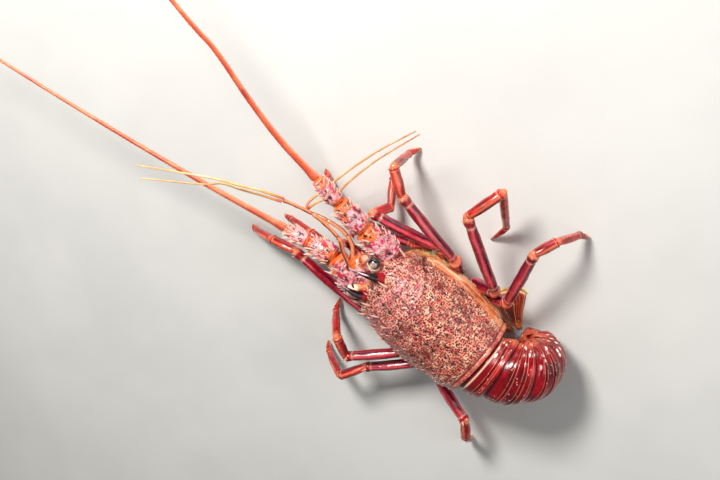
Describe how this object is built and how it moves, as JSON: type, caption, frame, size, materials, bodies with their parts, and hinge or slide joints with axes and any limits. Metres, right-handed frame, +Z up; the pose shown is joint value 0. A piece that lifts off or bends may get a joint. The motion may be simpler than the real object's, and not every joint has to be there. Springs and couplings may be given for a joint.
{
  "type": "spiny lobster",
  "caption": "Life-size still model of a spiny lobster standing with its tail curled under, its long antennae and feelers reaching forward.",
  "frame": {"origin": "on the floor, under the middle of the outline seen from above", "axes": "+Z up, the head points to -Y, the animal's left is +X"},
  "size_m": [0.2716, 0.6092, 0.1206],
  "materials": {
    "carapace_shell": "salmon pink to maroon shell, dense low bumps and pale tipped spines, satin gloss",
    "belly_shell": "pale orange cream underside shell, satin",
    "tail_shell": "deep maroon red glossy shell with pale groove edges and small white spots",
    "fan_shell": "orange to red blades with fine ribs and a leathery fringe",
    "eye_stalk": "orange red stalk, satin",
    "eye_gloss": "black, high gloss",
    "horn_shell": "dark purple brown with pale pink lines and a red root, glossy",
    "feeler_shell": "pale yellow to orange, finely ringed",
    "whip_shell": "salmon orange with fine rings and short bristles",
    "antenna_shell": "pale pink and lilac with violet black spots, cream spines and orange joints",
    "leg_shell": "purple red with pink and orange lengthwise stripes",
    "leg_tip_shell": "orange red with pale stripes and short bristles at the toes"
  },
  "bodies": {
    "root": {"antenna_L_segment_1": "antenna_shell", "antenna_L_segment_2": "antenna_shell", "antenna_L_segment_3": "antenna_shell", "antenna_L_whip_base": "whip_shell", "antenna_L_whip_tip": "whip_shell", "antenna_R_segment_1": "antenna_shell", "antenna_R_segment_2": "antenna_shell", "antenna_R_segment_3": "antenna_shell", "antenna_R_whip_base": "whip_shell", "antenna_R_whip_tip": "whip_shell", "antennule_L_inner": "feeler_shell", "antennule_L_outer": "feeler_shell", "antennule_L_stem": "feeler_shell", "antennule_R_inner": "feeler_shell", "antennule_R_outer": "feeler_shell", "antennule_R_stem": "feeler_shell", "antennule_plate": "belly_shell", "breast_plate": "belly_shell", "carapace": "carapace_shell", "eye_L": "eye_gloss", "eye_R": "eye_gloss", "eye_stalk_L": "eye_stalk", "eye_stalk_R": "eye_stalk", "horn_L": "horn_shell", "horn_R": "horn_shell", "leg_L1_lower": "leg_tip_shell", "leg_L1_upper": "leg_shell", "leg_L2_lower": "leg_tip_shell", "leg_L2_upper": "leg_shell", "leg_L3_lower": "leg_tip_shell", "leg_L3_upper": "leg_shell", "leg_L4_lower": "leg_tip_shell", "leg_L4_upper": "leg_shell", "leg_L5_lower": "leg_tip_shell", "leg_L5_upper": "leg_shell", "leg_R1_lower": "leg_tip_shell", "leg_R1_upper": "leg_shell", "leg_R2_lower": "leg_tip_shell", "leg_R2_upper": "leg_shell", "leg_R3_lower": "leg_tip_shell", "leg_R3_upper": "leg_shell", "leg_R4_lower": "leg_tip_shell", "leg_R4_upper": "leg_shell", "leg_R5_lower": "leg_tip_shell", "leg_R5_upper": "leg_shell", "mouth_foot_L": "leg_tip_shell", "mouth_foot_R": "leg_tip_shell", "tail_fan_inner_L": "fan_shell", "tail_fan_inner_R": "fan_shell", "tail_fan_middle": "fan_shell", "tail_fan_outer_L": "fan_shell", "tail_fan_outer_R": "fan_shell", "tail_ring_1": "tail_shell", "tail_ring_2": "tail_shell", "tail_ring_3": "tail_shell", "tail_ring_4": "tail_shell", "tail_ring_5": "tail_shell", "tail_ring_6": "tail_shell"}
  },
  "joints": []
}
